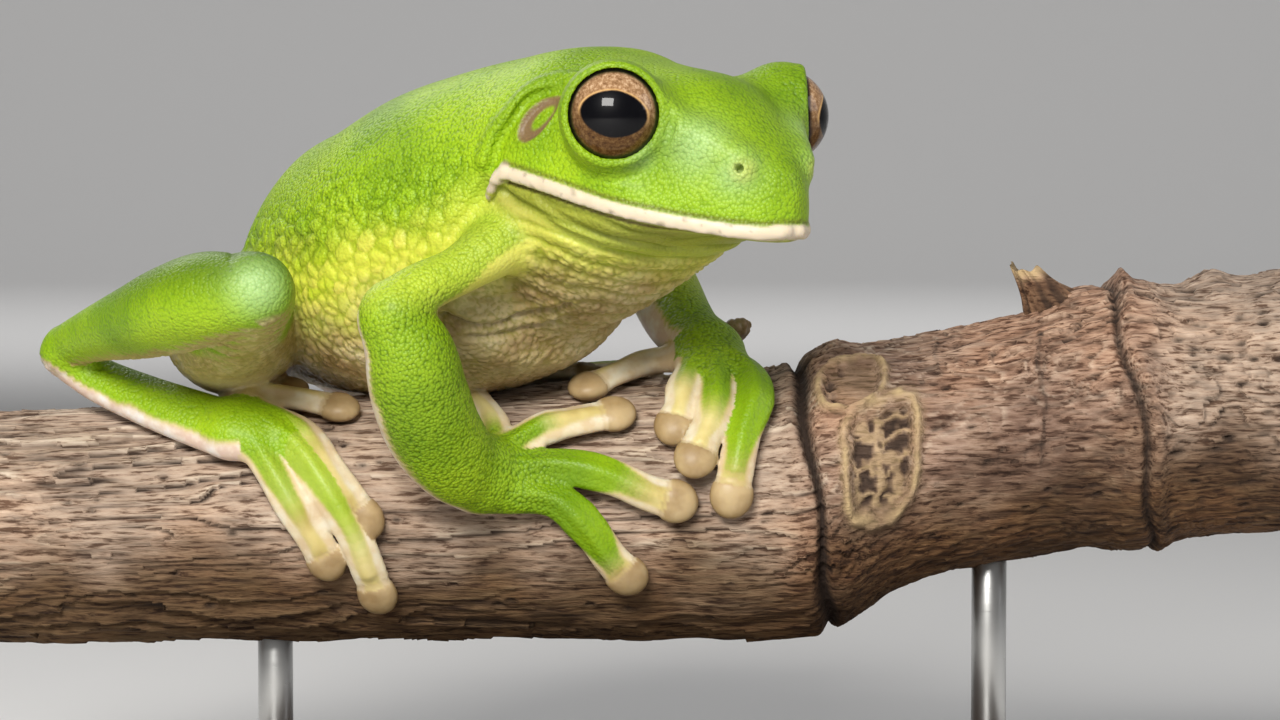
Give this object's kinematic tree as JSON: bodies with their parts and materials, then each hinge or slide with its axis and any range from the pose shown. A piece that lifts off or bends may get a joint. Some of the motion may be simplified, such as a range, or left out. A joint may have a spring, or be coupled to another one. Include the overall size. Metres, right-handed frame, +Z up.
{
  "type": "white-lipped tree frog on a perch and stand",
  "caption": "Life-size still model of a large green tree frog crouched on a short cut branch, head turned, held by two rods on a flat display base.",
  "frame": {"origin": "centre of the underside of the display base", "axes": "+X along the branch to the end that the frog faces, +Y away from the viewer of the picture, +Z up"},
  "size_m": [0.164, 0.0945, 0.0987],
  "materials": {
    "skin": "moist lime green skin with fine grain, yellow and cream below",
    "pale_skin": "moist cream and yellow throat skin with fine folds",
    "eye": "wet bronze eye with a dark pupil",
    "bark": "dry grey-brown cracked bark with pale cut ends",
    "stand_wood": "dark stained wood with a satin finish",
    "stand_steel": "brushed steel rod"
  },
  "bodies": {
    "root": {"head": "skin", "torso": "skin", "upper_arm_right": "skin", "forearm_right": "skin", "hand_right": "skin", "thigh_right": "skin", "shank_right": "skin", "tarsus_right": "skin", "foot_right": "skin", "upper_arm_left": "skin", "forearm_left": "skin", "hand_left": "skin", "thigh_left": "skin", "shank_left": "skin", "tarsus_left": "skin", "foot_left": "skin", "lower_jaw": "pale_skin", "eye_right": "eye", "eye_left": "eye", "perch_branch": "bark", "stand_base": "stand_wood", "stand_rod_left": "stand_steel", "stand_rod_right": "stand_steel"}
  },
  "joints": []
}
